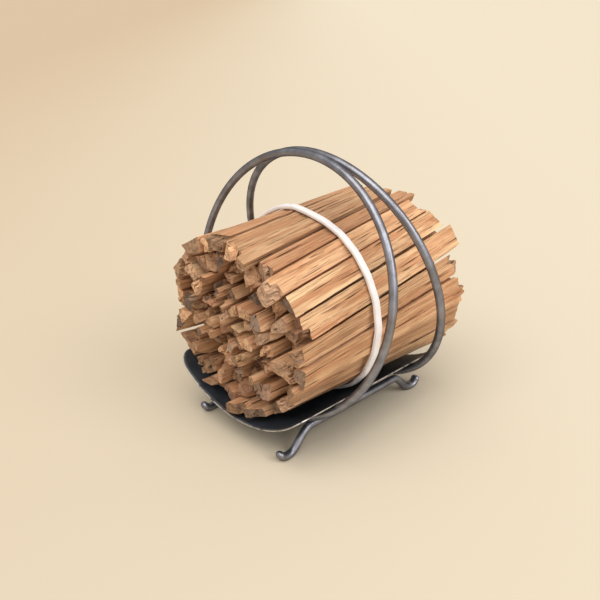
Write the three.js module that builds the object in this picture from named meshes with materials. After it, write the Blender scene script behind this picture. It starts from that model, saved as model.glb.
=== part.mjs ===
// A tied bundle of split kindling sticks, lying in a small steel carrier.
// Millimetres. X runs across the bundle, Y along the sticks and Z up; the shown ends face -Y.
// The origin is at the middle of the footprint, on the surface that the feet stand on.
import * as THREE from "three";

// Carrier: two leaning round-bar hoops, two rails that end in feet, and a sheet tray.
const BAR_RADIUS = 3.5;
const BAR_SIDES = 8;
const TOUCH_GAP = 0.3; // between pieces that bear on each other
const HOOP_HALF_WIDTH = 116.2; // to the bar's centre line
const HOOP_HALF_HEIGHT = 111.4; // along the hoop's own plane
const HOOP_TOP = 233; // height of the centre line where the hoops meet
const HOOP_LEAN = THREE.MathUtils.degToRad(14);
const HOOP_STEPS = 60;
const RAIL_X = 52;
const RAIL_Z = 20.1;
const RAIL_STEPS = 44;
const RAIL_CROWDING = 7; // the lower, the closer the rail's steps stand at its feet
const LEVEL_PART = [-30, 0, 30]; // places along the rail's level part
const PAD_Z = 2.6; // height of the bar's centre line over a foot's ground pad
// The rail's line from its level part out to a toe: distance from the middle, and height.
const FOOT_LINE = [
  [52, RAIL_Z],
  [58, 18.2],
  [64.5, 12.4],
  [70, 6.2],
  [75.5, PAD_Z],
  [82, PAD_Z],
  [86.3, 5.6],
  [87.6, 10],
];
const FORGED = { from: 22, over: 16, wider: 0.22, flatter: 0.1 }; // the hammered last part of a foot
const TRAY_HALF_WIDTH = 80;
const TRAY_FRONT = -94;
const TRAY_BACK = 86;
const TRAY_CORNER = 13;
const TRAY_SHEET = 1.2;
const TRAY_STEPS = 26;

// Bundle: sticks packed side by side, leaning round the bundle's axis like a slightly wrung bunch.
const SEED = 41;
const BUNDLE_HALF_WIDTH = 84;
const BUNDLE_HALF_HEIGHT = 81;
const BUNDLE_Z = 104.8;
const OUTLINE_SIDES = 40;
const TIE_Y = -8; // the section where the bundle is tied, and where the twist is zero
const TWIST = 0.00155; // sideways travel of a stick per mm of length and per mm from the axis
const SIDE_FLARE = 0.0002; // widening of the bundle per mm towards its back end
const TOP_FLARE = 0.0004; // the same, upwards, above the axis only
const LIFT_UNDERNEATH = 0.35; // share of the rise left to the lowest sticks, which lie on the tray
const STICK_LENGTH = { usual: 199, spread: 4, lessOnTop: 6 };
const STICK_SHIFT = { usual: 3, right: 7, top: -5, spread: 4.5 }; // of a stick's middle, along Y
const STICK_STEPS = 6;
const END_TILT = 0.22;
const END_TAPER = 0.06;
const WALL_GAP = 0.5; // between the nominal walls of neighbouring sticks
const UNEVEN_WIDTHS = 0.42;
const OUTER_RING = { count: 25, radius: 75.5, wander: 3 };
const INNER_RING = { count: 28, radius: 61, wander: 3.8 };
const OUTER_FACE = { depth: 7.5, spread: 1.2, lean: 0.24 }; // from an outer stick's middle
const THREE_CORNERS = 0.05; // share of the sticks
const FOUR_CORNERS = 0.6;
const CORE = { sides: 9, radius: 52, wander: 1.2, unevenness: 0.12, steps: 12, frontSpare: 3, backSpare: 7 };

// Tie: a soft woven band pulled tight over the sticks' outer corners, and pressed thin underneath.
const BAND_WIDTH = 7;
const BAND_THICKNESS = 4.2;
const BAND_PRESSED = 1.7;
const PRESSED_BELOW = -80; // height from the bundle's axis where the band is thinnest
const FULL_ABOVE = -55;
const BAND_GAP = 0.4;

const STEEL = { color: 0x5c5b5f, roughness: 0.42, metalness: 0.75 };
const BLACK_STEEL = { color: 0x17191d, roughness: 0.4, metalness: 0.4 };
const SPLIT_WOOD = { color: 0xc79561, roughness: 0.85, metalness: 0 };
const WHITE_BAND = { color: 0xe6e2e0, roughness: 0.8, metalness: 0 };

// Repeatable random numbers from 0 to 1.
function randomFrom(seed) {
  let state = seed;
  return () => {
    state = (state + 0x6d2b79f5) | 0;
    let mixed = Math.imul(state ^ (state >>> 15), 1 | state);
    mixed = (mixed + Math.imul(mixed ^ (mixed >>> 7), 61 | mixed)) ^ mixed;
    return ((mixed ^ (mixed >>> 14)) >>> 0) / 4294967296;
  };
}
const random = randomFrom(SEED);
const spread = (amount) => amount * (2 * random() - 1);

function countTo(count) {
  return Array.from({ length: count }, (_, i) => i);
}

// A closed solid through rings of equally many points. Each ring runs anticlockwise round the way
// from the first ring to the last. A looped loft has no ends; an open one gets two flat ones.
function loft(rings, looped = false) {
  const sides = rings[0].length;
  const index = [];
  const joins = looped ? rings.length : rings.length - 1;
  for (const i of countTo(joins)) {
    const here = i * sides;
    const there = ((i + 1) % rings.length) * sides;
    for (const k of countTo(sides)) {
      const next = (k + 1) % sides;
      index.push(here + k, here + next, there + next);
      index.push(here + k, there + next, there + k);
    }
  }
  if (!looped) {
    const last = (rings.length - 1) * sides;
    for (let k = 1; k < sides - 1; k++) {
      index.push(0, k + 1, k);
      index.push(last, last + k, last + k + 1);
    }
  }
  const geometry = new THREE.BufferGeometry().setFromPoints(rings.flat());
  geometry.setIndex(index);
  geometry.computeVertexNormals();
  return geometry;
}

function piece(name, geometry, finish) {
  const mesh = new THREE.Mesh(geometry, new THREE.MeshStandardMaterial({ ...finish, flatShading: true }));
  mesh.name = name;
  return mesh;
}

// One ring of a bar's surface, square to the way along it, with a flat towards side x along.
function barRing(centre, along, side, wide = 1, tall = 1) {
  const other = along.clone().cross(side);
  return countTo(BAR_SIDES).map((k) => {
    const angle = ((k + 0.5) * 2 * Math.PI) / BAR_SIDES;
    return centre
      .clone()
      .addScaledVector(side, BAR_RADIUS * wide * Math.cos(angle))
      .addScaledVector(other, BAR_RADIUS * tall * Math.sin(angle));
  });
}

// A point of a hoop's centre line, a fraction of a turn from its top. end is -1 in front, 1 behind.
function hoopPoint(end, turn) {
  const angle = 2 * Math.PI * turn;
  const down = HOOP_HALF_HEIGHT * (1 - Math.cos(angle));
  const topY = BAR_RADIUS + TOUCH_GAP / 2;
  return new THREE.Vector3(
    HOOP_HALF_WIDTH * Math.sin(angle),
    end * (topY + down * Math.sin(HOOP_LEAN)),
    HOOP_TOP - down * Math.cos(HOOP_LEAN),
  );
}

function hoop(name, end) {
  const acrossPlane = new THREE.Vector3(0, end * Math.cos(HOOP_LEAN), Math.sin(HOOP_LEAN));
  const rings = countTo(HOOP_STEPS).map((i) => {
    const turn = i / HOOP_STEPS;
    const ahead = hoopPoint(end, turn + 0.001);
    const along = ahead.sub(hoopPoint(end, turn - 0.001)).normalize();
    return barRing(hoopPoint(end, turn), along, acrossPlane);
  });
  return piece(name, loft(rings, true), STEEL);
}

// A rail runs level under the hoops, drops to the ground at both ends and curls up at its toes.
function railCurve(x) {
  const front = FOOT_LINE.map(([y, z]) => new THREE.Vector3(x, -y, z)).reverse();
  const middle = LEVEL_PART.map((y) => new THREE.Vector3(x, y, RAIL_Z));
  const back = FOOT_LINE.map(([y, z]) => new THREE.Vector3(x, y, z));
  return new THREE.CatmullRomCurve3([...front, ...middle, ...back], false, "catmullrom", 0.5);
}

function rail(name, x) {
  const curve = railCurve(x);
  const acrossX = new THREE.Vector3(1, 0, 0);
  const rings = countTo(RAIL_STEPS + 1).map((i) => {
    // Steps crowd towards the two feet, where the bar bends.
    const level = i / RAIL_STEPS;
    const at = level - Math.sin(4 * Math.PI * level) / (RAIL_CROWDING * Math.PI);
    const along = curve.getTangentAt(at);
    const fromTip = curve.getLength() * Math.min(at, 1 - at);
    const forged = THREE.MathUtils.smoothstep(FORGED.from - fromTip, 0, FORGED.over);
    const wide = 1 + FORGED.wider * forged;
    const tall = 1 - FORGED.flatter * forged;
    const ring = barRing(curve.getPointAt(at), along, acrossX, wide, tall);
    // The pad under each foot is ground flat.
    for (const point of ring) point.z = Math.max(point.z, 0);
    return ring;
  });
  return piece(name, loft(rings), STEEL);
}

// Height of the hoops' inner edge at x, on the lower half, seen along Y.
function cradleHeight(x) {
  const centreZ = HOOP_TOP - HOOP_HALF_HEIGHT * Math.cos(HOOP_LEAN);
  const innerHalfWidth = HOOP_HALF_WIDTH - BAR_RADIUS;
  const innerHalfHeight = (HOOP_HALF_HEIGHT - BAR_RADIUS) * Math.cos(HOOP_LEAN);
  return centreZ - innerHalfHeight * Math.sqrt(1 - (x / innerHalfWidth) ** 2);
}

// The tray is a sheet curved across to lie in the hoops, with rounded corners in plan.
function tray() {
  const cornerStart = TRAY_HALF_WIDTH - TRAY_CORNER;
  const rings = countTo(TRAY_STEPS + 1).map((i) => {
    const x = TRAY_HALF_WIDTH * Math.sin(((i / TRAY_STEPS) * 2 - 1) * (Math.PI / 2));
    const intoCorner = Math.max(0, Math.abs(x) - cornerStart);
    const trim = TRAY_CORNER - Math.sqrt(TRAY_CORNER ** 2 - intoCorner ** 2);
    const under = cradleHeight(x) + TOUCH_GAP;
    const slope = (cradleHeight(x + 0.1) - cradleHeight(x - 0.1)) / 0.2;
    const thick = TRAY_SHEET / Math.hypot(1, slope);
    const low = [x, under];
    const high = [x - slope * thick, under + thick];
    const front = TRAY_FRONT + trim;
    const back = TRAY_BACK - trim;
    return [
      new THREE.Vector3(low[0], front, low[1]),
      new THREE.Vector3(low[0], back, low[1]),
      new THREE.Vector3(high[0], back, high[1]),
      new THREE.Vector3(high[0], front, high[1]),
    ];
  });
  return piece("tray", loft(rings), BLACK_STEEL);
}

// The bundle's section is laid out in a plane whose points are (x, z from the bundle's axis).
// A wall is a line that keeps the side where normal . point <= limit.
function wall(normal, limit) {
  return { normal, limit };
}

function cut(polygon, { normal, limit }) {
  const kept = [];
  polygon.forEach((point, i) => {
    const next = polygon[(i + 1) % polygon.length];
    const here = normal.dot(point) - limit;
    const there = normal.dot(next) - limit;
    if (here <= 0) kept.push(point);
    if (here * there < 0) kept.push(point.clone().lerp(next, here / (here - there)));
  });
  return kept;
}

function wallBetween(site, other) {
  const normal = other.clone().sub(site).normalize();
  const middle = site.clone().lerp(other, 0.5);
  return wall(normal, normal.dot(middle) - WALL_GAP / 2);
}

function onBundle(radius, angle) {
  const squash = BUNDLE_HALF_HEIGHT / BUNDLE_HALF_WIDTH;
  return new THREE.Vector2(radius * Math.cos(angle), radius * squash * Math.sin(angle));
}

// The middles of a ring of sticks of uneven widths.
function ringOfSites({ count, radius, wander }) {
  const widths = countTo(count).map(() => 1 + spread(UNEVEN_WIDTHS));
  const whole = widths.reduce((sum, width) => sum + width);
  let used = 0;
  return widths.map((width) => {
    const angle = (2 * Math.PI * (used + width / 2)) / whole;
    used += width;
    return onBundle(radius + spread(wander), angle);
  });
}

function corePolygon() {
  return countTo(CORE.sides).map((i) => {
    const angle = (2 * Math.PI * (i + spread(CORE.unevenness))) / CORE.sides;
    return onBundle(CORE.radius + spread(CORE.wander), angle);
  });
}

// The core's wall that faces a site, kept on the site's side.
function wallOffCore(core, site) {
  const walls = core.map((corner, i) => {
    const edge = core[(i + 1) % core.length].clone().sub(corner);
    const outward = new THREE.Vector2(edge.y, -edge.x).normalize();
    return { outward, reach: outward.dot(corner), clear: outward.dot(site) - outward.dot(corner) };
  });
  const facing = walls.reduce((best, each) => (each.clear > best.clear ? each : best));
  return wall(facing.outward.clone().negate(), -facing.reach - WALL_GAP);
}

function outerFace(site) {
  const leaning = spread(OUTER_FACE.lean);
  const normal = site.clone().normalize().rotateAround(new THREE.Vector2(), leaning);
  return wall(normal, normal.dot(site) + OUTER_FACE.depth + spread(OUTER_FACE.spread));
}

function bundleOutline() {
  return countTo(OUTLINE_SIDES).map((i) => onBundle(BUNDLE_HALF_WIDTH, (2 * Math.PI * i) / OUTLINE_SIDES));
}

function triangleArea(a, b, c) {
  return Math.abs((b.x - a.x) * (c.y - a.y) - (b.y - a.y) * (c.x - a.x)) / 2;
}

function middleOf(polygon) {
  const sum = polygon.reduce((total, point) => total.add(point), new THREE.Vector2());
  return sum.divideScalar(polygon.length);
}

// Split wood has few corners: the ones that matter least to the area are dropped.
function fewCorners(polygon, wanted) {
  const corners = [...polygon];
  while (corners.length > wanted) {
    const lost = corners.map((point, i) => {
      const before = corners[(i + corners.length - 1) % corners.length];
      return triangleArea(before, point, corners[(i + 1) % corners.length]);
    });
    corners.splice(lost.indexOf(Math.min(...lost)), 1);
  }
  return corners;
}

function cornerCount() {
  const draw = random();
  if (draw < THREE_CORNERS) return 3;
  return draw < THREE_CORNERS + FOUR_CORNERS ? 4 : 5;
}

// A stick's section at one end: its corners drawn in by uneven amounts, so it tapers.
function endSection(corners) {
  const middle = middleOf(corners);
  const taper = END_TAPER * random();
  return corners.map((corner) => corner.clone().lerp(middle, taper + END_TAPER * random()));
}

// Where a point of the layout plane is at a given y: it travels round the bundle's axis, and away
// from it towards the back. All of it is even along Y, so that every stick is straight.
function placed(point, y) {
  const run = y - TIE_Y;
  const turn = TWIST * run;
  const across = point.x * (1 + SIDE_FLARE * run);
  const up = point.y > 0 ? point.y * (1 + TOP_FLARE * run) : point.y;
  const depth = Math.max(0, -point.y / BUNDLE_HALF_HEIGHT);
  const lift = turn * point.x * (1 - (1 - LIFT_UNDERNEATH) * depth);
  return new THREE.Vector3(across - turn * point.y, y, BUNDLE_Z + up + lift);
}

// How far a stick's middle stands from y = 0. The top ones come forward, the right ones stand back.
function stickShift(middle) {
  const right = Math.max(0, middle.x / BUNDLE_HALF_WIDTH);
  const top = middle.y / BUNDLE_HALF_HEIGHT;
  return STICK_SHIFT.usual + STICK_SHIFT.right * right + STICK_SHIFT.top * top + spread(STICK_SHIFT.spread);
}

// The corners of one end face, cut or snapped off a little out of square.
function endFace(section, y) {
  const middle = middleOf(section);
  const tiltX = spread(END_TILT);
  const tiltZ = spread(END_TILT);
  return section.map((corner) => {
    const off = corner.clone().sub(middle);
    return placed(corner, y + tiltX * off.x + tiltZ * off.y);
  });
}

// A straight stick between its two end faces.
function stickRings(section, steps) {
  const middle = middleOf(section);
  const shift = stickShift(middle);
  const less = STICK_LENGTH.lessOnTop * Math.max(0, middle.y / BUNDLE_HALF_HEIGHT);
  const length = STICK_LENGTH.usual - less + spread(STICK_LENGTH.spread);
  const front = endFace(endSection(section), shift - length / 2);
  const back = endFace(endSection(section), shift + length / 2);
  return countTo(steps + 1).map((i) => back.map((corner, k) => corner.clone().lerp(front[k], i / steps)));
}

function twigs(core) {
  const sites = [...ringOfSites(OUTER_RING), ...ringOfSites(INNER_RING)];
  return sites.map((site, i) => {
    const walls = sites.filter((other) => other !== site).map((other) => wallBetween(site, other));
    walls.push(wallOffCore(core, site));
    if (i < OUTER_RING.count) walls.push(outerFace(site));
    const cell = walls.reduce(cut, bundleOutline());
    const name = "twig_" + String(i + 1).padStart(2, "0");
    return piece(name, loft(stickRings(fewCorners(cell, cornerCount()), STICK_STEPS)), SPLIT_WOOD);
  });
}

// The inner twigs' common space, out to their tips.
function coreTwigs(core) {
  const front = core.map((corner) => placed(corner, -STICK_LENGTH.usual / 2 - CORE.frontSpare));
  const back = core.map((corner) => placed(corner, STICK_LENGTH.usual / 2 + CORE.backSpare));
  const rings = countTo(CORE.steps + 1).map((i) => {
    return back.map((corner, k) => corner.clone().lerp(front[k], i / CORE.steps));
  });
  return piece("inner_twigs", loft(rings), SPLIT_WOOD);
}

// Where the sticks' long edges cross the tied section.
function edgesAtTie(sticks) {
  return sticks.flatMap((stick) => {
    const corners = stick.geometry.getAttribute("position");
    const sides = corners.count / (STICK_STEPS + 1);
    return countTo(sides).map((k) => {
      const back = new THREE.Vector3().fromBufferAttribute(corners, k);
      const front = new THREE.Vector3().fromBufferAttribute(corners, STICK_STEPS * sides + k);
      const at = back.lerp(front, (TIE_Y - back.y) / (front.y - back.y));
      return new THREE.Vector2(at.x, at.z);
    });
  });
}

// The convex outline round points, anticlockwise.
function hull(points) {
  const sorted = [...points].sort((a, b) => a.x - b.x || a.y - b.y);
  const chain = (list) => {
    const kept = [];
    for (const point of list) {
      const turnsLeft = () => {
        const [a, b] = kept.slice(-2);
        return (b.x - a.x) * (point.y - a.y) - (b.y - a.y) * (point.x - a.x) > 0;
      };
      while (kept.length > 1 && !turnsLeft()) kept.pop();
      kept.push(point);
    }
    return kept.slice(0, -1);
  };
  return [...chain(sorted), ...chain(sorted.reverse())];
}

function bandThickness(height) {
  const full = THREE.MathUtils.smoothstep(height - BUNDLE_Z, PRESSED_BELOW, FULL_ABOVE);
  return THREE.MathUtils.lerp(BAND_PRESSED, BAND_THICKNESS, full);
}

// The band lies flat along the outline's straights and bends round its corners.
function tie(sticks) {
  const outline = hull(edgesAtTie(sticks));
  const rings = outline.flatMap((corner, i) => {
    const before = outline[(i + outline.length - 1) % outline.length];
    const after = outline[(i + 1) % outline.length];
    const reach = BAND_GAP + bandThickness(corner.y);
    return [corner.clone().sub(before), after.clone().sub(corner)].map((edge) => {
      const outward = new THREE.Vector2(edge.y, -edge.x).normalize();
      const inner = corner.clone().addScaledVector(outward, BAND_GAP);
      const outer = corner.clone().addScaledVector(outward, reach);
      const front = TIE_Y - BAND_WIDTH / 2;
      const back = TIE_Y + BAND_WIDTH / 2;
      return [
        new THREE.Vector3(inner.x, front, inner.y),
        new THREE.Vector3(outer.x, front, outer.y),
        new THREE.Vector3(outer.x, back, outer.y),
        new THREE.Vector3(inner.x, back, inner.y),
      ];
    });
  });
  return piece("tie", loft(rings, true), WHITE_BAND);
}

function build() {
  const core = corePolygon();
  const sticks = twigs(core);
  const group = new THREE.Group();
  group.add(hoop("hoop_front", -1), hoop("hoop_back", 1));
  group.add(rail("rail_left", -RAIL_X), rail("rail_right", RAIL_X));
  group.add(tray(), tie(sticks), coreTwigs(core), ...sticks);
  // The origin goes to the middle of the footprint.
  const middle = new THREE.Box3().setFromObject(group).getCenter(new THREE.Vector3());
  group.position.set(-middle.x, -middle.y, 0);
  return group;
}

const bundle = build();
export default bundle;
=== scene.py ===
"""A bundle of split kindling twigs, tied once round the middle, in a steel hoop carrier.

Metres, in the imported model's frame: X runs across the bundle, Y along the twigs, Z up.
"""

import math

import bpy
import numpy as np
from mathutils import Matrix, Vector


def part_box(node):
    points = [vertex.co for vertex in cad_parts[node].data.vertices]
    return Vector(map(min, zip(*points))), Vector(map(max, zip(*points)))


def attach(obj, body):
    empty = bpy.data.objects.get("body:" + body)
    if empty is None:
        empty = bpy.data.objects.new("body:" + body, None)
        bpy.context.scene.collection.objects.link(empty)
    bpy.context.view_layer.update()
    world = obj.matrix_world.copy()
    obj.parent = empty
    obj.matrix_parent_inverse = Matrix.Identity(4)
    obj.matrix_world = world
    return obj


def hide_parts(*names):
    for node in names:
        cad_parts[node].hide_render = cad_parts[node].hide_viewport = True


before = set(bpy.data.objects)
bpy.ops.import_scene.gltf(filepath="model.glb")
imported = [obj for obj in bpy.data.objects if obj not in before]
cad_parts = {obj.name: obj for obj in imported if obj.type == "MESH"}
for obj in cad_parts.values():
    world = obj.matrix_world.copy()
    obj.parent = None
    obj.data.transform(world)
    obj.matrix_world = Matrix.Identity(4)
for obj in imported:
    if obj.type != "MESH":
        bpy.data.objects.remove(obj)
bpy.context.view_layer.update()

MM = 0.001
TWIG_SEED = 7


# ---------------------------------------------------------------- finishes


class Value:
    """A number that varies over a surface, so that shader maths reads as plain sums."""

    def __init__(self, finish, socket):
        self.finish = finish
        self.socket = socket

    def maths(self, operation, *others):
        settings = {"operation": operation}
        sockets = dict(enumerate([self, *others]))
        node = self.finish.node("ShaderNodeMath", settings, sockets)
        return Value(self.finish, node.outputs[0])

    def reversed_maths(self, operation, other):
        settings = {"operation": operation}
        node = self.finish.node("ShaderNodeMath", settings, {0: other, 1: self})
        return Value(self.finish, node.outputs[0])

    def __add__(self, other):
        return self.maths("ADD", other)

    def __radd__(self, other):
        return self.maths("ADD", other)

    def __sub__(self, other):
        return self.maths("SUBTRACT", other)

    def __rsub__(self, other):
        return self.reversed_maths("SUBTRACT", other)

    def __mul__(self, other):
        return self.maths("MULTIPLY", other)

    def __rmul__(self, other):
        return self.maths("MULTIPLY", other)

    def __truediv__(self, other):
        return self.maths("DIVIDE", other)

    def fraction(self):
        return self.maths("FRACT")

    def between(self, low, high):
        """0 up to low, 1 from high on, and a smooth rise in between."""
        settings = {"interpolation_type": "SMOOTHSTEP"}
        sockets = {"Value": self, "From Min": low, "From Max": high}
        node = self.finish.node("ShaderNodeMapRange", settings, sockets)
        return Value(self.finish, node.outputs[0])


class Finish:
    """One material, and the nodes that it is made with."""

    def __init__(self, name, **constants):
        self.material = bpy.data.materials.new(name)
        self.material.use_nodes = True
        self.tree = self.material.node_tree
        self.shader = self.tree.nodes["Principled BSDF"]
        for socket, value in constants.items():
            self.shader.inputs[socket.replace("_", " ")].default_value = value

    def node(self, kind, settings=None, sockets=None):
        made = self.tree.nodes.new(kind)
        for name, value in (settings or {}).items():
            setattr(made, name, value)
        for name, value in (sockets or {}).items():
            if isinstance(value, Value):
                value = value.socket
            if isinstance(value, bpy.types.NodeSocket):
                self.tree.links.new(value, made.inputs[name])
            else:
                made.inputs[name].default_value = value
        return made

    def attribute(self, name):
        return self.node("ShaderNodeAttribute", {"attribute_name": name})

    def attribute_value(self, name):
        return Value(self, self.attribute(name).outputs["Fac"])

    def scaled(self, vector, factors):
        settings = {"operation": "MULTIPLY"}
        return self.node("ShaderNodeVectorMath", settings, {0: vector, 1: factors}).outputs[0]

    def moved(self, vector, step):
        settings = {"operation": "ADD"}
        return self.node("ShaderNodeVectorMath", settings, {0: vector, 1: step}).outputs[0]

    def part_of(self, vector, axis):
        return Value(self, self.node("ShaderNodeSeparateXYZ", None, {0: vector}).outputs[axis])

    def length_of(self, vector):
        settings = {"operation": "LENGTH"}
        node = self.node("ShaderNodeVectorMath", settings, {0: vector})
        return Value(self, node.outputs["Value"])

    def noise(self, vector, scale=1, detail=2, roughness=0.5):
        sockets = {
            "Vector": vector,
            "Scale": scale,
            "Detail": detail,
            "Roughness": roughness,
        }
        return Value(self, self.node("ShaderNodeTexNoise", None, sockets).outputs["Fac"])

    def mixed(self, factor, first, second):
        first = (*first, 1) if isinstance(first, tuple) else first
        second = (*second, 1) if isinstance(second, tuple) else second
        settings = {"data_type": "RGBA"}
        return self.node("ShaderNodeMix", settings, {0: factor, 6: first, 7: second}).outputs[2]

    def brightened(self, colour, factor):
        """A colour with each of its parts multiplied by one varying number."""
        settings = {"data_type": "RGBA", "blend_type": "MULTIPLY"}
        grey = self.node("ShaderNodeCombineXYZ", None, {0: factor, 1: factor, 2: factor})
        sockets = {0: 1.0, 6: colour, 7: grey.outputs[0]}
        return self.node("ShaderNodeMix", settings, sockets).outputs[2]

    def bump(self, height, distance, strength=1.0):
        """Relief from a height of 0 to 1, where distance is what 1 stands for in metres."""
        sockets = {"Height": height, "Distance": distance, "Strength": strength}
        return self.node("ShaderNodeBump", None, sockets).outputs[0]

    def paint(self, **sockets):
        for name, value in sockets.items():
            value = value.socket if isinstance(value, Value) else value
            self.tree.links.new(value, self.shader.inputs[name.replace("_", " ")])
        return self.material


TAN = (0.545, 0.295, 0.155)
LIGHT_TAN = (0.66, 0.41, 0.235)
PALE_YELLOW = (0.75, 0.53, 0.31)
RED_BROWN = (0.50, 0.215, 0.105)
NUT_BROWN = (0.36, 0.185, 0.095)
STREAK_BROWN = (0.27, 0.12, 0.055)
CRACK_BROWN = (0.035, 0.014, 0.006)
END_TAN = (0.43, 0.24, 0.135)
END_LIGHT = (0.66, 0.41, 0.24)
END_DARK = (0.085, 0.04, 0.022)
END_GREY = (0.24, 0.19, 0.165)
END_RED = (0.30, 0.13, 0.075)

# Millimetres: between growth rings, between the tape's ribs and between its long threads.
GROWTH_RING = 2.3
RIB_PITCH = 0.9
THREAD_PITCH = 0.7


def split_wood():
    """Oak-like split wood: grain along the twig, growth rings across it, rough dark cut ends.

    The grain attribute is scaled to millimetres, and its first part runs along the twig, so a
    noise with a small first factor is long in that direction.
    """
    wood = Finish("split_wood", Roughness=0.82, Specular_IOR_Level=0.25)
    grain = wood.scaled(wood.attribute("grain").outputs["Vector"], (1000, 1000, 1000))
    tone = wood.attribute("tone").outputs["Vector"]
    end_tone = wood.attribute("end_tone").outputs["Vector"]
    cut_end = wood.attribute_value("cut_end")

    # Growth rings: shells about a far pith, made uneven by slow noise.
    sideways = wood.scaled(grain, (0, 1, 1))
    drift = wood.noise(wood.scaled(grain, (0.012, 0.09, 0.09)), detail=2)
    from_pith = wood.length_of(sideways) + drift * 7
    ring = (from_pith / GROWTH_RING).fraction()
    late_wood = ring.between(0.45, 0.92) * (1 - ring.between(0.93, 1.0))

    # The split faces: broad bands, streaks and fibres, all long in the grain's direction.
    band = wood.noise(wood.scaled(grain, (0.009, 0.17, 0.17)), detail=3, roughness=0.6)
    fibre = wood.noise(wood.scaled(grain, (0.03, 0.9, 0.9)), detail=4, roughness=0.65)
    patch = wood.noise(wood.scaled(grain, (0.035, 0.08, 0.08)), detail=2)
    weathered = wood.noise(wood.scaled(wood.moved(grain, (5, 5, 90)), (0.02, 0.14, 0.14)), detail=4)
    streak = wood.noise(wood.scaled(wood.moved(grain, (300, 9, 4)), (0.013, 0.42, 0.42)), detail=3)
    crack = wood.noise(wood.scaled(wood.moved(grain, (90, 40, 7)), (0.016, 0.55, 0.55)), detail=2)
    hair = wood.noise(wood.scaled(wood.moved(grain, (7, 70, 21)), (0.03, 1.5, 1.5)), detail=2)
    flake = wood.noise(wood.scaled(grain, (0.11, 0.8, 0.8)), detail=4, roughness=0.7)

    lightness = wood.part_of(tone, 0)
    warmth = wood.part_of(tone, 1)
    paleness = wood.part_of(tone, 2)
    face = wood.mixed(band.between(0.36, 0.62), TAN, LIGHT_TAN)
    face = wood.mixed(patch.between(0.5, 0.75) * 0.4, face, RED_BROWN)
    face = wood.mixed(warmth * 0.5, face, RED_BROWN)
    face = wood.mixed(weathered.between(0.5, 0.68) * 0.45, face, NUT_BROWN)
    face = wood.mixed(paleness * 0.85 * band.between(0.4, 0.6), face, PALE_YELLOW)
    face = wood.mixed(late_wood * 0.3, face, STREAK_BROWN)
    face = wood.mixed(streak.between(0.58, 0.74) * 0.6, face, STREAK_BROWN)
    face = wood.mixed(crack.between(0.64, 0.70) * 0.9, face, CRACK_BROWN)
    face = wood.mixed(hair.between(0.6, 0.66) * 0.55, face, STREAK_BROWN)
    face = wood.brightened(face, lightness * (0.66 + 0.5 * fibre + 0.2 * flake))

    # The cut ends: rings and pores, weathered in patches.
    pore = wood.noise(wood.scaled(grain, (0.05, 1.6, 1.6)), detail=3, roughness=0.7)
    soot = wood.noise(wood.scaled(grain, (0.2, 0.2, 0.2)), detail=3, roughness=0.65)
    split = wood.noise(wood.scaled(wood.moved(grain, (50, 3, 8)), (0.05, 0.75, 0.14)), detail=3)
    greyness = wood.part_of(end_tone, 1)
    redness = wood.part_of(end_tone, 2)
    end = wood.mixed(soot.between(0.35, 0.65), END_LIGHT, END_TAN)
    end = wood.mixed(redness.between(0.7, 1.0) * 0.7, end, END_RED)
    end = wood.mixed(greyness * 0.8, end, END_GREY)
    end = wood.mixed(late_wood * 0.16, end, END_DARK)
    end = wood.mixed(soot.between(0.55, 0.72) * 0.6, end, END_GREY)
    end = wood.mixed(pore.between(0.5, 0.72) * 0.75, end, END_DARK)
    end = wood.mixed(split.between(0.6, 0.68) * 0.85, end, CRACK_BROWN)
    end = wood.brightened(end, wood.part_of(end_tone, 0))
    colour = wood.mixed(cut_end, face, end)

    ridges = late_wood * -0.3 + fibre * 0.8 + flake * 0.5 - crack.between(0.62, 0.70)
    ridges = ridges - hair.between(0.58, 0.68) * 0.6
    end_relief = soot * 1.2 - pore - late_wood * 0.3 - split.between(0.58, 0.7) * 1.5
    height = ridges * (1 - cut_end) + end_relief * cut_end
    return wood.paint(Base_Color=colour, Normal=wood.bump(height, 0.45 * MM))


def bar_steel():
    """Drawn bar with a thin graphite finish: satin, a little mottled and rubbed."""
    steel = Finish("bar_steel", Metallic=0.92, Specular_Tint=(0.16, 0.15, 0.15, 1))
    place = steel.node("ShaderNodeTexCoord").outputs["Object"]
    mottle = steel.noise(place, scale=90, detail=4, roughness=0.6)
    rub = steel.noise(place, scale=420, detail=3, roughness=0.7)
    scale_marks = steel.noise(place, scale=28, detail=3)
    colour = steel.mixed(mottle.between(0.35, 0.7), (0.22, 0.225, 0.26), (0.33, 0.34, 0.395))
    colour = steel.mixed(scale_marks.between(0.55, 0.75) * 0.4, colour, (0.20, 0.165, 0.13))
    roughness = 0.25 + 0.14 * mottle + 0.06 * rub
    relief = steel.bump(mottle * 0.6 + rub * 0.4, 0.12 * MM)
    return steel.paint(Base_Color=colour, Roughness=roughness, Normal=relief)


def tray_steel():
    """Black enamelled sheet, with a painted highlight: a bright metal colour in patches along its
    edge.
    """
    steel = Finish("tray_steel", Specular_IOR_Level=0.5)
    place = steel.node("ShaderNodeTexCoord").outputs["Object"]
    rim = steel.attribute_value("rim")
    mottle = steel.noise(place, scale=60, detail=4, roughness=0.6)
    dust = steel.noise(place, scale=700, detail=2)
    edge_highlight_patches = steel.noise(place, scale=150, detail=3)
    # Painted highlight: the sheet's edge gets a bright metal colour in patches, standing in for the
    # light that the edge catches.
    painted_edge_highlight = rim * edge_highlight_patches.between(0.3, 0.55)
    colour = steel.mixed(mottle.between(0.3, 0.7), (0.010, 0.014, 0.021), (0.022, 0.029, 0.040))
    colour = steel.mixed(dust.between(0.62, 0.75) * 0.25, colour, (0.16, 0.12, 0.09))
    colour = steel.mixed(painted_edge_highlight, colour, (0.55, 0.53, 0.50))
    roughness = 0.36 + 0.14 * mottle
    relief = steel.bump(mottle * 0.7 + dust * 0.3, 0.10 * MM)
    return steel.paint(Base_Color=colour, Roughness=roughness, Metallic=painted_edge_highlight, Normal=relief)


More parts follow.
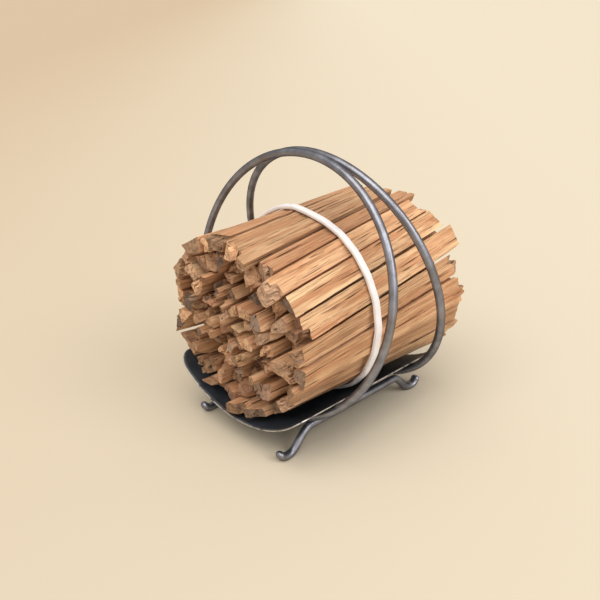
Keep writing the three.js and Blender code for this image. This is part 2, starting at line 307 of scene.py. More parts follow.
def woven_band():
    """White cotton tape: a rib across it every 0.9 mm and a plain weave between."""
    band = Finish("woven_band", Roughness=0.9, Specular_IOR_Level=0.2)
    weave = band.attribute("weave").outputs["Vector"]
    along = band.part_of(weave, 0)
    across = band.part_of(weave, 1)
    rib = (along * (2 * math.pi / RIB_PITCH)).maths("SINE") * 0.5 + 0.5
    warp = (across * (2 * math.pi / THREAD_PITCH)).maths("SINE") * 0.5 + 0.5
    fluff = band.noise(weave, scale=1.4, detail=4, roughness=0.7)
    soil = band.noise(weave, scale=0.05, detail=3)
    colour = band.mixed(soil.between(0.4, 0.75), (0.90, 0.885, 0.90), (0.80, 0.775, 0.79))
    # Painted shade: the hollows between the ribs and threads are darkened towards lilac grey.
    colour = band.mixed((1 - rib) * (1 - warp) * 0.3, colour, (0.58, 0.54, 0.57))
    relief = band.bump(rib * 0.4 + warp * 0.3 + fluff * 0.5, 0.25 * MM)
    return band.paint(Base_Color=colour, Normal=relief)


def studio_floor():
    """Pale cream paper with painted light: darker and deeper in tone on the far left, lighter
    towards the right.
    """
    paper = Finish("studio_floor", Roughness=0.95, Specular_IOR_Level=0.1)
    place = paper.node("ShaderNodeTexCoord").outputs["Object"]
    cloud = paper.noise(place, scale=1.2, detail=2)
    to_the_right = paper.part_of(place, 0) * 0.69 + paper.part_of(place, 1) * 0.73
    # Painted light: the paper is lighter towards the right, where the lamps shine from, and darker
    # on the far left.
    lit_side = (to_the_right + cloud * 0.1).between(-1.2, 0.6)
    colour = paper.mixed(lit_side, (0.505, 0.40, 0.285), (0.625, 0.565, 0.455))
    return paper.paint(Base_Color=colour)


# ---------------------------------------------------------------- mesh helpers


def unit(vectors):
    return vectors / np.maximum(np.linalg.norm(vectors, axis=-1, keepdims=True), 1e-12)


def smooth_step(amount):
    amount = np.clip(amount, 0, 1)
    return amount * amount * (3 - 2 * amount)


def ring_faces(rings, sides, looped_rings=False):
    """Quads between rings of equally many points, in ring order."""
    ring = np.arange(rings if looped_rings else rings - 1)[:, None]
    side = np.arange(sides)[None, :]
    here = ring * sides
    there = ((ring + 1) % rings) * sides
    after = (side + 1) % sides
    corners = [here + side, here + after, there + after, there + side]
    return np.stack([np.broadcast_to(c, (len(ring), sides)) for c in corners], -1).reshape(-1, 4)


def fan_faces(centre, ring, turned=False):
    after = np.roll(ring, -1)
    middle = np.full(len(ring), centre)
    pair = (after, ring) if turned else (ring, after)
    return np.stack([middle, *pair], -1)


def make_piece(name, points, face_sets, finish, sharp=35):
    """A closed mesh piece from points in millimetres, on the one body."""
    mesh = bpy.data.meshes.new(name)
    faces = [face for faces in face_sets for face in faces.tolist()]
    mesh.from_pydata((np.asarray(points) * MM).tolist(), [], faces)
    mesh.polygons.foreach_set("use_smooth", np.ones(len(faces), bool))
    mesh.set_sharp_from_angle(angle=math.radians(sharp))
    mesh.materials.append(finish)
    piece = bpy.data.objects.new(name, mesh)
    bpy.context.scene.collection.objects.link(piece)
    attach(piece, "root")
    return piece


def add_numbers(piece, name, values, domain="POINT"):
    piece.data.attributes.new(name, "FLOAT", domain).data.foreach_set("value", np.ravel(values))


def add_vectors(piece, name, vectors):
    attribute = piece.data.attributes.new(name, "FLOAT_VECTOR", "POINT")
    attribute.data.foreach_set("vector", np.ravel(vectors).astype(np.float32))


def cad_points(node):
    """The separate corners of a CAD node, in millimetres."""
    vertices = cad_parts[node].data.vertices
    points = np.array([v.co for v in vertices], float) / MM
    return np.unique(np.round(points, 3), axis=0)


def soft_noise(chance, rows, columns, t, s):
    """Smooth noise from -1 to 1 over t, from 0 to 1 along a twig, and s, round it from 0 to 1."""
    grid = chance.uniform(-1, 1, (rows + 2, columns))
    t, s = np.broadcast_arrays(t, s)
    row = np.clip(t, 0, 1) * rows
    column = (s % 1) * columns
    i = np.floor(row).astype(int)
    j = np.floor(column).astype(int) % columns
    after = (j + 1) % columns
    a = smooth_step(row - np.floor(row))
    b = smooth_step(column - np.floor(column))
    near = grid[i, j] * (1 - b) + grid[i, after] * b
    far = grid[i + 1, j] * (1 - b) + grid[i + 1, after] * b
    return near * (1 - a) + far * a


# ---------------------------------------------------------------- twigs

# A twig's mesh: the spacing of its points round it, its rings along it, and the most that an
# end is cut back, all but the rings in millimetres.
OUTER_TWIGS = 25
OUTER_SPACING = 1.05
OUTER_RINGS = 58
OUTER_MOST_CUT = 6.0
SECOND_MOST_CUT = 15.0

INNER_TWIGS = 54
INNER_GAP = 1.5
INNER_SPACING = 1.25
INNER_RINGS = 30
INNER_MOST_CUT = 32.0
EVENING_ROUNDS = 7
NUDGE = 2.8


def ends_of(node, depth=12):
    """The corners of a twig's front and back end faces, anticlockwise, seen along Y, and paired."""
    points = cad_points(node)
    y = points[:, 1]
    ends = []
    for chosen in (points[y < y.min() + depth], points[y > y.max() - depth]):
        middle = chosen.mean(0)
        angle = np.arctan2(chosen[:, 2] - middle[2], chosen[:, 0] - middle[0])
        ends.append(chosen[np.argsort(angle)])
    front, back = ends
    if len(front) != len(back):
        raise ValueError(f"{node} has ends with different corners")
    shape = front - front.mean(0)
    other = back - back.mean(0)
    turns = range(len(front))
    misses = [np.abs(shape - np.roll(other, turn, 0)).sum() for turn in turns]
    return front, np.roll(back, int(np.argmin(misses)), 0)


class EndCut:
    """How far one end of a twig is cut back, in millimetres, over its section."""

    def __init__(self, chance, size, most):
        self.base = most * chance.uniform(0, 1) ** 1.6
        self.slope = random_way(chance) * chance.uniform(0, 0.2)
        self.size = size
        self.steps = []
        for _ in range(chance.choice([0, 1, 1, 2, 3])):
            place = size * chance.uniform(0.0, 0.5)
            self.steps.append((random_way(chance), place, chance.uniform(1.2, 7.0)))
        self.waves = []
        for _ in range(9):
            way = random_way(chance) / chance.uniform(0.7, 2.4)
            self.waves.append((way, chance.uniform(0, 2 * math.pi), chance.uniform(0.03, 0.2)))

    def back_by(self, place):
        depth = self.base + place @ self.slope + np.linalg.norm(self.slope) * self.size
        for way, at, drop in self.steps:
            edge = place @ way - at + 0.4 * np.sin(place @ way[::-1] * 1.3 + drop * 9)
            depth = depth + drop * smooth_step(edge / 0.7 + 0.5)
        for way, phase, height in self.waves:
            depth = depth + height * (1 + np.sin(place @ way + phase))
        return depth


def random_way(chance):
    turn = chance.uniform(0, 2 * math.pi)
    return np.array([math.cos(turn), math.sin(turn)])


def round_the_section(front, back, chance, spacing):
    """Sample points round a twig: its edge, how far along that edge, and the ends' places."""
    names = ("front", "back", "inward", "edge", "share", "corner")
    samples = {name: [] for name in names}
    sides = len(front)
    blunts = chance.uniform(0.3, 0.8, sides)
    for k in range(sides):
        after = (k + 1) % sides
        edge = (front[after] - front[k] + back[after] - back[k]) / 2
        length = math.hypot(edge[0], edge[2])
        count = max(5, round(length / spacing))
        low = min(0.3, blunts[k] / length)
        high = 1 - min(0.3, blunts[after] / length)
        share = np.linspace(low, high, count)
        samples["front"].append(front[k] + (front[after] - front[k]) * share[:, None])
        samples["back"].append(back[k] + (back[after] - back[k]) * share[:, None])
        inward = np.array([-edge[2], 0, edge[0]]) / length
        samples["inward"].append(np.repeat(inward[None], count, 0))
        samples["edge"].append(np.full(count, k))
        samples["share"].append(share)
        samples["corner"].append(np.minimum(share, 1 - share) * length)
    return {name: np.concatenate(parts) for name, parts in samples.items()}


def lengthwise_steps(count, length, crowd=5.0):
    """Places along a twig from 0 to 1, closer together towards its ends."""
    level = np.linspace(0, 1, count)
    crowding = crowd / length * 10
    return level - np.sin(2 * math.pi * level) / (2 * math.pi) * (1 - crowding)


def wandering_corners(front, back, around, level, chance):
    """How the long edges of a split twig wander towards its middle; the faces between stay flat."""
    sides = len(front)
    middle = (front.mean(0) + back.mean(0)) / 2
    inward = middle - (front + back) / 2
    inward[:, 1] = 0
    inward = unit(inward)
    corner = (np.arange(sides) + 0.5) / sides
    wander = 0.16 + 0.22 * soft_noise(chance, 4, sides, level, corner)
    wander = wander + 0.1 * soft_noise(chance, 13, sides, level, corner)
    wander = np.maximum(wander, 0)[..., None] * inward
    here = around["edge"]
    after = (here + 1) % sides
    share = around["share"][:, None]
    return wander[:, here] * (1 - share) + wander[:, after] * share


def split_relief(around, level, s, chance):
    """Depth of the hollows, ridges and lengthwise cracks in a twig's split faces."""
    count = len(s)
    hollow = 0.2 + 0.2 * soft_noise(chance, 5, 8, level, s)
    ridge = 0.13 + 0.13 * soft_noise(chance, 5, max(9, count // 3), level, s)
    fine = 0.08 + 0.08 * soft_noise(chance, 22, max(12, count // 2), level, s)
    fade = smooth_step(around["corner"] / 1.6)
    depth = (hollow + ridge) * (0.25 + 0.75 * fade) + fine * fade
    for edge in range(around["edge"].max() + 1):
        on_edge = around["edge"] == edge
        width = around["corner"][on_edge].max() * 2
        for _ in range(chance.choice([0, 1, 1, 2])):
            across = (around["share"] - chance.uniform(0.2, 0.8)) * width
            drift = chance.uniform(-1.2, 1.2) * (level - 0.5) + 0.5 * np.sin(level * 7 + across[0])
            reach = smooth_step(4 * np.sin(level * chance.uniform(2, 6) + chance.uniform(0, 6)))
            crack = np.exp(-(((across + drift) / chance.uniform(0.55, 0.8)) ** 2))
            depth = depth + chance.uniform(0.6, 1.6) * crack * reach * on_edge * fade
    return depth


def twig_mesh(name, front, back, chance, finish, spacing, rings, most_cut):
    """A split twig inside the straight solid between two end polygons."""
    around = round_the_section(front, back, chance, spacing)
    count = len(around["front"])
    s = np.arange(count) / count
    length = np.linalg.norm(back.mean(0) - front.mean(0))
    front_middle = around["front"].mean(0)
    back_middle = around["back"].mean(0)
    section = (around["front"] - front_middle + around["back"] - back_middle)[:, [0, 2]] / 2
    size = np.linalg.norm(section, axis=1).mean()

    # All of the wood's relief goes inwards, so a twig stays in its own solid.
    level = lengthwise_steps(rings, length)[:, None]
    depth = split_relief(around, level, s, chance)
    near_corner = np.exp(-((around["corner"] / 1.7) ** 2))
    from_end = np.minimum(level, 1 - level) * length
    splintered = 0.6 + 1.2 * np.exp(-from_end / 9)
    chip = np.maximum(0, soft_noise(chance, 16, 6, level, s) - 0.3) * 1.5
    chip = (chip + 0.08 + 0.08 * soft_noise(chance, 34, 9, level, s)) * near_corner * splintered
    toward_middle = np.zeros((count, 3))
    toward_middle[:, [0, 2]] = -unit(section)
    cuts = [EndCut(chance, size, most_cut), EndCut(chance, size, most_cut)]
    start = cuts[0].back_by(section) / length
    stop = 1 - cuts[1].back_by(section) / length
    along = start + (stop - start) * level
    base = around["front"] + (around["back"] - around["front"]) * along[..., None]
    side = base + wandering_corners(front, back, around, level, chance)
    side = side + around["inward"] * depth[..., None] + toward_middle * chip[..., None]

    # Each end face closes in towards its middle over a few smaller rings.
    points = [side.reshape(-1, 3)]
    faces = [ring_faces(rings, count)[:, ::-1]]
    total = rings * count
    cap_rings = max(4, round(size / 1.25))
    end_faces = 0
    for end, cut in enumerate(cuts):
        rim = side[-end]
        rim_offset = rim - base[-end]
        previous = end * (rings - 1) * count + np.arange(count)
        for ring in range(1, cap_rings + 1):
            share = 1 - ring / cap_rings
            here_front = front_middle + (around["front"] - front_middle) * share
            here_back = back_middle + (around["back"] - back_middle) * share
            back_by = cut.back_by(section * share) / length
            t = 1 - back_by if end else back_by
            here = here_front + (here_back - here_front) * t[:, None] + rim_offset * share
            if ring < cap_rings:
                current = total + np.arange(count)
                loop = [current, np.roll(current, -1), np.roll(previous, -1), previous]
                patch = np.stack(loop[::-1] if end else loop, -1)
                previous = current
            else:
                here = here[:1]
                patch = fan_faces(total, previous, turned=end == 1)
            points.append(here)
            faces.append(patch)
            total += len(here)
            end_faces += len(patch)
    points = np.concatenate(points)
    piece = make_piece(name, points, faces, finish, sharp=28)

    is_end = np.zeros(len(piece.data.polygons), np.float32)
    is_end[-end_faces:] = 1
    add_numbers(piece, "cut_end", is_end, "FACE")
    add_vectors(piece, "grain", grain_places(points, front_middle, back_middle, chance))
    tone = [chance.uniform(0.82, 1.10), chance.uniform(0, 1) ** 3, chance.uniform(0, 1) ** 4]
    add_vectors(piece, "tone", np.repeat([tone], len(points), 0))
    end_tone = [chance.uniform(0.55, 1.45), chance.uniform(0, 1) ** 3, chance.uniform(0, 1)]
    add_vectors(piece, "end_tone", np.repeat([end_tone], len(points), 0))
    return piece


def grain_places(points, front_middle, back_middle, chance):
    """Places in the wood that a twig was split from, in metres: along the grain, then across."""
    axis = unit(back_middle - front_middle)
    offset = points - front_middle
    along = offset @ axis
    turn = chance.uniform(0, 2 * math.pi)
    flat = offset - along[:, None] * axis
    x = flat[:, 0] * math.cos(turn) - flat[:, 2] * math.sin(turn)
    z = flat[:, 0] * math.sin(turn) + flat[:, 2] * math.cos(turn)
    pith = chance.uniform(35, 120)
    place = np.stack([along + chance.uniform(0, 3000), x + pith, z + chance.uniform(-8, 8)], -1)
    return place * MM


def outer_twigs(finish):
    names = sorted(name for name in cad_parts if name.startswith("twig_"))
    for number, name in enumerate(names):
        chance = np.random.default_rng([TWIG_SEED, number])
        front, back = ends_of(name)
        most_cut = SECOND_MOST_CUT if number >= OUTER_TWIGS else OUTER_MOST_CUT
        shape = (OUTER_SPACING, OUTER_RINGS, most_cut)
        piece = twig_mesh("split_" + name, front, back, chance, finish, *shape)
        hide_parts(name)


def cut_polygon(polygon, normal, limit):
    """The part of a convex polygon where normal . point <= limit."""
    kept = []
    for point, after in zip(polygon, np.roll(polygon, -1, 0)):
        here = normal @ point - limit
        there = normal @ after - limit
        if here <= 0:
            kept.append(point)
        if here * there < 0:
            kept.append(point + (after - point) * here / (here - there))
    return np.array(kept).reshape(-1, 2)


def cells_round(sites, outline, gap):
    """Each site's own convex cell, with a gap between neighbours."""
    cells = []
    for i, site in enumerate(sites):
        cell = outline
        for j, other in enumerate(sites):
            if i == j:
                continue
            normal = unit(other - site)
            cell = cut_polygon(cell, normal, normal @ (site + other) / 2 - gap / 2)
        cells.append(cell)
    return cells


def area_of(polygon):
    after = np.roll(polygon, -1, 0)
    return 0.5 * abs(np.sum(polygon[:, 0] * after[:, 1] - polygon[:, 1] * after[:, 0]))


def fewer_corners(polygon, wanted):
    """Drops the corners that matter least to the area."""
    polygon = list(polygon)
    while len(polygon) > wanted:
        losses = []
        for i, point in enumerate(polygon):
            triangle = np.array([polygon[i - 1], point, polygon[(i + 1) % len(polygon)]])
            losses.append(area_of(triangle))
        polygon.pop(int(np.argmin(losses)))
    return np.array(polygon)


def inner_sections(outline, chance):
    """The inner twigs' sections: spread evenly, then nudged so that no two are alike."""
    low, high = outline.min(0), outline.max(0)
    sites = []
    while len(sites) < INNER_TWIGS:
        place = chance.uniform(low, high)
        if area_of(cut_to_inside(outline, place)) > 0:
            sites.append(place)
    sites = np.array(sites)
    for _ in range(EVENING_ROUNDS):
        cells = cells_round(sites, outline, 0)
        sites = np.array([cell.mean(0) for cell in cells])
    sites = sites + chance.uniform(-NUDGE, NUDGE, sites.shape)
    cells = cells_round(sites, outline, INNER_GAP)
    return [fewer_corners(cell, chance.choice([4, 4, 5])) for cell in cells]


def cut_to_inside(outline, place):
    """The outline if the place is inside it, or nothing."""
    edges = np.roll(outline, -1, 0) - outline
    offsets = place - outline
    turns = edges[:, 0] * offsets[:, 1] - edges[:, 1] * offsets[:, 0]
    return outline if np.all(turns > 0) else outline[:1]


def as_complex(flat):
    return flat[:, 0] + 1j * flat[:, 1]


def inner_twigs(finish):
    """The bundle's middle: one mesh a twig, in the space of their common solid."""
    chance = np.random.default_rng([TWIG_SEED, 1000])
    front, back = ends_of("inner_twigs")
    start = front.mean(0)
    end = back.mean(0)
    front_flat = (front - start)[:, [0, 2]]
    back_flat = (back - end)[:, [0, 2]]
    # The back end is the front end turned and swelled about the middle.
    turn = np.vdot(as_complex(front_flat), as_complex(back_flat)) / np.sum(front_flat**2)
    for number, section in enumerate(inner_sections(front_flat, chance)):
        middle = section.mean(0)
        drawn_in = chance.uniform(0.0, 0.08, (len(section), 1))
        near = section + (middle - section) * drawn_in
        turned = as_complex(near) * turn
        far = np.stack([turned.real, turned.imag], -1)
        front_face = np.insert(near, 1, 0, axis=1) + start
        back_face = np.insert(far, 1, 0, axis=1) + end
        own = np.random.default_rng([TWIG_SEED, 1001 + number])
        name = f"inner_twig_{number + 1:02d}"
        shape = (INNER_SPACING, INNER_RINGS, INNER_MOST_CUT)
        piece = twig_mesh(name, front_face, back_face, own, finish, *shape)
        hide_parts("inner_twigs")


# ---------------------------------------------------------------- steel carrier

BAR_RADIUS = 3.5
BAR_SIDES = 24
FLAT_TO_MIDDLE = BAR_RADIUS * math.cos(math.pi / 8)
HOOP_LEAN = math.radians(14)
HOOP_HALF_HEIGHT = 111.4
HOOP_STEPS = 220


def middle_y():
    """Where the twigs' own y = 0 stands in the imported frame: midway between the hoops."""
    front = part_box("hoop_front")
    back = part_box("hoop_back")
    return (front[0].y + back[1].y) / 2 / MM


def hoop_line(node, end):
    low, high = (np.array(corner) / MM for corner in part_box(node))
    half_width = (high[0] - low[0]) / 2 - FLAT_TO_MIDDLE
    top_z = high[2] - FLAT_TO_MIDDLE
    top_y = middle_y() + end * (BAR_RADIUS + 0.15)
    angle = np.linspace(0, 2 * math.pi, HOOP_STEPS, endpoint=False)
    down = HOOP_HALF_HEIGHT * (1 - np.cos(angle))
    x = half_width * np.sin(angle)
    y = top_y + end * down * math.sin(HOOP_LEAN)
    z = top_z - down * math.cos(HOOP_LEAN)
    return np.stack([x, y, z], -1)


def hoop(node, end, finish):
    line = hoop_line(node, end)
    along = unit(np.roll(line, -1, 0) - np.roll(line, 1, 0))
    across = np.array([0, end * math.cos(HOOP_LEAN), math.sin(HOOP_LEAN)])
    other = np.cross(along, across)
    angle = np.linspace(0, 2 * math.pi, BAR_SIDES, endpoint=False)
    ring = across * np.cos(angle)[None, :, None] + other[:, None] * np.sin(angle)[None, :, None]
    points = line[:, None] + ring * BAR_RADIUS
    faces = ring_faces(HOOP_STEPS, BAR_SIDES, looped_rings=True)
    piece = make_piece("smooth_" + node, points.reshape(-1, 3), [faces], finish)
    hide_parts(node)


# Half of a rail, from its level part to a toe: how far from its middle, and how high.
RAIL_HALF = [
    (52, 20.1),
    (58, 18.2),
    (64.5, 12.4),
    (70, 6.2),
    (75.5, 2.6),
    (82, 2.6),
    (86.3, 5.6),
    (87.6, 10),
]

# A foot is forged wider and flatter from FORGED_FROM mm before its tip, over FORGED_OVER mm.
FORGED_FROM = 22
FORGED_OVER = 16
FORGED_WIDER = 0.22
FORGED_FLATTER = 0.10
TIP_ROUNDING = 3.2


def catmull_rom(knots, steps):
    """A smooth line through knots, with steps points between each two."""
    knots = np.array(knots, float)
    first = 2 * knots[0] - knots[1]
    last = 2 * knots[-1] - knots[-2]
    whole = np.vstack([first, knots, last])
    line = []
    for i in range(1, len(whole) - 2):
        before, here, after, beyond = whole[i - 1 : i + 3]
        leave = (after - before) / 2
        arrive = (beyond - here) / 2
        for t in np.linspace(0, 1, steps, endpoint=False):
            t2 = t * t
            t3 = t2 * t
            point = (2 * t3 - 3 * t2 + 1) * here + (t3 - 2 * t2 + t) * leave
            line.append(point + (3 * t2 - 2 * t3) * after + (t3 - t2) * arrive)
    return np.array([*line, whole[-2]])


def rail(node, finish):
    """One bar: level under the hoops, down to two forged feet with curled, rounded toes."""
    low, high = (np.array(corner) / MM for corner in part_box(node))
    x = (low[0] + high[0]) / 2
    shift = (low[1] + high[1]) / 2
    front = [(x, shift - y, z) for y, z in reversed(RAIL_HALF)]
    level = [(x, shift + y, RAIL_HALF[0][1]) for y in (-30, 0, 30)]
    back = [(x, shift + y, z) for y, z in RAIL_HALF]
    line = catmull_rom([*front, *level, *back], 12)
    step = np.linalg.norm(np.diff(line, axis=0), axis=1)
    run = np.concatenate([[0], np.cumsum(step)])
    from_tip = np.minimum(run, run[-1] - run)
    along = unit(np.gradient(line, axis=0))
    side = np.array([1.0, 0, 0])
    other = np.cross(along, side)
    forged = smooth_step((FORGED_FROM - from_tip) / FORGED_OVER)
    angle = np.linspace(0, 2 * math.pi, BAR_SIDES, endpoint=False)
    wide = BAR_RADIUS * (1 + FORGED_WIDER * forged)[:, None, None]
    tall = BAR_RADIUS * (1 - FORGED_FLATTER * forged)[:, None, None]
    ring = side * np.cos(angle)[None, :, None] * wide
    ring = ring + other[:, None] * np.sin(angle)[None, :, None] * tall

    # The tips are rounded over inside the last few millimetres.
    dome = np.clip(from_tip / TIP_ROUNDING, 0, 1)
    ring = ring * np.sqrt(1 - (1 - dome) ** 2)[:, None, None].clip(0.02)
    points = line[:, None] + ring
    points[..., 2] = np.maximum(points[..., 2], 0)
    count = len(line)
    tips = np.array([line[0], line[-1]])
    faces = [
        ring_faces(count, BAR_SIDES),
        fan_faces(count * BAR_SIDES, np.arange(BAR_SIDES), turned=True),
        fan_faces(count * BAR_SIDES + 1, (count - 1) * BAR_SIDES + np.arange(BAR_SIDES)),
    ]
    whole = np.vstack([points.reshape(-1, 3), tips])
    piece = make_piece("smooth_" + node, whole, faces, finish)
    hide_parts(node)


TRAY_SHEET = 1.2
TRAY_CORNER = 13
HOOP_CLEARANCE = 0.3
RIM_WIDTH = 0.9


def cradle(x):
    """Height and slope of the hoops' inner edge at x, on the lower half, seen along Y."""
    low, high = (np.array(corner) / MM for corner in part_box("hoop_front"))
    half_width = (high[0] - low[0]) / 2 - FLAT_TO_MIDDLE - BAR_RADIUS
    top_z = high[2] - FLAT_TO_MIDDLE
    centre_z = top_z - HOOP_HALF_HEIGHT * math.cos(HOOP_LEAN)
    half_height = (HOOP_HALF_HEIGHT - BAR_RADIUS) * math.cos(HOOP_LEAN)
    dip = np.sqrt(1 - (x / half_width) ** 2)
    return centre_z - half_height * dip, half_height * x / half_width**2 / dip


def tray(finish, columns=120, rows=70):
    """One sheet curved across to lie in the hoops, with rounded corners and a smoothed edge."""
    low, high = (np.array(corner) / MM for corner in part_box("tray"))
    half = (high[0] - low[0]) / 2
    thick = TRAY_SHEET / 2
    points = []
    rims = []
    for place in np.sin(np.linspace(-math.pi / 2, math.pi / 2, columns)):
        x = (half - 0.02) * place
        height, slope = cradle(x)
        into_corner = max(0.0, abs(x) - (half - TRAY_CORNER))
        trim = TRAY_CORNER - math.sqrt(TRAY_CORNER**2 - into_corner**2)
        from_side = half - abs(x)
        swell = math.sqrt(max(0.0, 1 - max(0.0, 1 - from_side / thick) ** 2))
        swell = max(swell, 0.04)
        normal = unit(np.array([-slope, 0, 1.0]))
        centre = np.array([x, 0, height + HOOP_CLEARANCE]) + normal * thick
        front = low[1] + trim
        back = high[1] - trim
        turn = np.linspace(-math.pi / 2, math.pi / 2, 9)[1:-1]
        run = np.linspace(front + thick, back - thick, rows)
        rounding = thick * np.cos(turn)
        loop_y = [run, back - thick + rounding, run[::-1], front + thick - rounding]
        loop_n = [-np.ones(rows), np.sin(turn), np.ones(rows), -np.sin(turn)]
        y = np.concatenate(loop_y)
        n = np.concatenate(loop_n) * thick * swell
        column = centre + n[:, None] * normal
        column[:, 1] = y
        points.append(column)
        edge = np.minimum(np.minimum(y - front, back - y), from_side)
        rims.append(1 - smooth_step(edge / RIM_WIDTH))
    points = np.array(points)
    sides = points.shape[1]
    count = len(points)
    ends = np.array([points[0].mean(0), points[-1].mean(0)])
    faces = [
        ring_faces(count, sides),
        fan_faces(count * sides, np.arange(sides), turned=True),
        fan_faces(count * sides + 1, (count - 1) * sides + np.arange(sides)),
    ]
    whole = np.vstack([points.reshape(-1, 3), ends])
    piece = make_piece("curved_tray", whole, faces, finish, sharp=50)
    add_numbers(piece, "rim", np.concatenate([np.ravel(rims), [1, 1]]))
    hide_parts("tray")


# ---------------------------------------------------------------- tie


def convex_outline(points):
    points = sorted(map(tuple, points))

    def chain(run):
        kept = []
        for point in run:
            while len(kept) > 1 and turn_of(kept[-2], kept[-1], point) <= 0:
                kept.pop()
            kept.append(point)
        return kept[:-1]

    return np.array(chain(points) + chain(points[::-1]))


def turn_of(first, second, third):
    one = (second[0] - first[0], second[1] - first[1])
    two = (third[0] - first[0], third[1] - first[1])
    return one[0] * two[1] - one[1] * two[0]


def even_loop(corners, spacing):
    closed = np.vstack([corners, corners[:1]])
    step = np.linalg.norm(np.diff(closed, axis=0), axis=1)
    run = np.concatenate([[0], np.cumsum(step)])
    places = np.linspace(0, run[-1], round(run[-1] / spacing), endpoint=False)
    return np.stack([np.interp(places, run, closed[:, axis]) for axis in (0, 1)], -1)


def softened(loop, reach):
    """A closed loop of even steps, smoothed over reach steps each way."""
    steps = np.arange(-3 * reach, 3 * reach + 1)
    weights = np.exp(-0.5 * (steps / reach) ** 2)
    weights = weights / weights.sum()
    return sum(weight * np.roll(loop, step, 0) for weight, step in zip(weights, steps))


# The band is thin up to a height of PRESSED_BELOW, and full from FULL_ABOVE up, in millimetres.
BAND_THICKNESS = 4.2
BAND_PRESSED = 1.7
PRESSED_BELOW = 24.8
FULL_ABOVE = 49.8
BAND_STEP = 0.6
BAND_SQUARENESS = 0.62


def tie(finish, sides=24):
    """A soft woven band, tight over the twigs' corners, and pressed thin against the tray."""
    chance = np.random.default_rng([TWIG_SEED, 2000])
    low, high = (np.array(corner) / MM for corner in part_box("tie"))
    outline = convex_outline(cad_points("tie")[:, [0, 2]])
    loop = softened(even_loop(outline, BAND_STEP), 6)
    along = unit(np.roll(loop, -1, 0) - np.roll(loop, 1, 0))
    outward = np.stack([along[:, 1], -along[:, 0]], -1)
    count = len(loop)
    turn = np.linspace(0, 2 * math.pi, sides, endpoint=False)
    # A rounded oblong: wide across Y, thin outwards.
    across = np.sign(np.cos(turn)) * np.abs(np.cos(turn)) ** BAND_SQUARENESS
    lift = np.sign(np.sin(turn)) * np.abs(np.sin(turn)) ** BAND_SQUARENESS
    half_width = (high[1] - low[1]) / 2
    middle = (high[1] + low[1]) / 2
    way = np.arange(count) / count
    sway = 0.35 * soft_noise(chance, 1, 9, 0, way)
    width = half_width * (0.93 + 0.05 * soft_noise(chance, 1, 26, 0, way))
    points = np.zeros((count, sides, 3))
    full = smooth_step((loop[:, 1:] - PRESSED_BELOW) / (FULL_ABOVE - PRESSED_BELOW))
    thickness = BAND_PRESSED + (BAND_THICKNESS - BAND_PRESSED) * full
    centre = loop - outward * thickness / 2
    flat = lift[None, :] * thickness / 2
    points[..., 0] = centre[:, :1] + outward[:, :1] * flat
    points[..., 2] = centre[:, 1:] + outward[:, 1:] * flat
    points[..., 1] = middle + sway[:, None] + across[None, :] * width[:, None]
    faces = ring_faces(count, sides, looped_rings=True)[:, ::-1]
    piece = make_piece("woven_tie", points.reshape(-1, 3), [faces], finish, sharp=60)
    weave = np.zeros((count, sides, 3))
    weave[..., 0] = np.arange(count)[:, None] * BAND_STEP
    weave[..., 1] = across[None, :] * half_width
    weave[..., 2] = flat
    add_vectors(piece, "weave", weave.reshape(-1, 3))
    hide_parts("tie")


# ---------------------------------------------------------------- studio

FLOOR_SIDES = 96
FLOOR_RADII = (0.4, 1.2, 4, 12, 40)


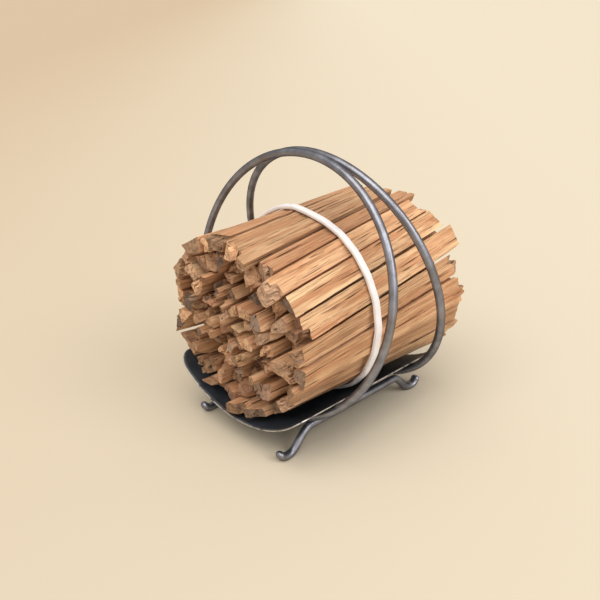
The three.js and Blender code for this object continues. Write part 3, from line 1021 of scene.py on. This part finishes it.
def studio():
    """A wide pale floor, even warm air, and three far soft lights."""
    mesh = bpy.data.meshes.new("studio_floor")
    turn = np.linspace(0, 2 * math.pi, FLOOR_SIDES, endpoint=False)
    points = [(r * math.cos(a), r * math.sin(a), 0) for r in FLOOR_RADII for a in turn]
    points.append((0, 0, 0))
    middle = fan_faces(len(points) - 1, np.arange(FLOOR_SIDES))
    rings = ring_faces(len(FLOOR_RADII), FLOOR_SIDES)[:, ::-1]
    faces = [middle, rings]
    mesh.from_pydata(points, [], [face for part in faces for face in part.tolist()])
    mesh.materials.append(studio_floor())
    floor = bpy.data.objects.new("studio_floor", mesh)
    bpy.context.scene.collection.objects.link(floor)

    world = bpy.data.worlds.new("studio_air")
    world.use_nodes = True
    air = world.node_tree.nodes["Background"]
    air.inputs["Color"].default_value = (1.0, 0.95, 0.87, 1)
    air.inputs["Strength"].default_value = 0.58
    bpy.context.scene.world = world

    far_softbox("key", (1.0, 0.25, 0.85), 32, 1.0, (1.0, 0.97, 0.95))
    far_softbox("side", (0.95, -0.25, 0.3), 36, 0.36, (0.93, 0.95, 1.0))
    far_softbox("overhead", (0.15, -0.4, 1.0), 60, 2.25, (1.0, 0.96, 0.90))


def far_softbox(name, towards, width, strength, colour):
    """An even soft light from far off; width is how wide it looks, in degrees."""
    light = bpy.data.lights.new(name, "SUN")
    light.angle = math.radians(width)
    light.energy = strength
    light.color = colour
    lamp = bpy.data.objects.new(name, light)
    lamp.rotation_euler = Vector(towards).to_track_quat("Z", "Y").to_euler()
    bpy.context.scene.collection.objects.link(lamp)


CAMERA_AZIMUTH = math.radians(46.52)
CAMERA_RISE = math.radians(23.98)
CAMERA_ROLL = math.radians(-0.503)
CAMERA_DISTANCE = 0.6524
AIM_HEIGHT = 0.1125


def camera():
    """A three-quarter view from the front right, a little above."""
    azimuth = CAMERA_AZIMUTH
    rise = CAMERA_RISE
    roll = CAMERA_ROLL
    back = Vector((
        math.sin(azimuth) * math.cos(rise),
        -math.cos(azimuth) * math.cos(rise),
        math.sin(rise),
    ))
    right = Vector((math.cos(azimuth), math.sin(azimuth), 0))
    up = back.cross(right)
    side = right * math.cos(roll) + up * math.sin(roll)
    top = up * math.cos(roll) - right * math.sin(roll)
    place = Vector((0, middle_y() * MM, AIM_HEIGHT)) + back * CAMERA_DISTANCE
    lens = bpy.data.cameras.new("studio_camera")
    lens.lens = 44.36
    lens.sensor_width = 36
    lens.shift_x = -0.0201
    lens.shift_y = -0.0192
    lens.clip_end = 200
    made = bpy.data.objects.new("studio_camera", lens)
    turn = Matrix((side, top, back)).transposed().to_4x4()
    made.matrix_world = Matrix.Translation(place) @ turn
    bpy.context.scene.collection.objects.link(made)
    bpy.context.scene.camera = made


wood = split_wood()
bar = bar_steel()
outer_twigs(wood)
inner_twigs(wood)
hoop("hoop_front", -1, bar)
hoop("hoop_back", 1, bar)
rail("rail_left", bar)
rail("rail_right", bar)
tray(tray_steel())
tie(woven_band())
studio()
camera()
bpy.context.scene.view_settings.view_transform = "Standard"
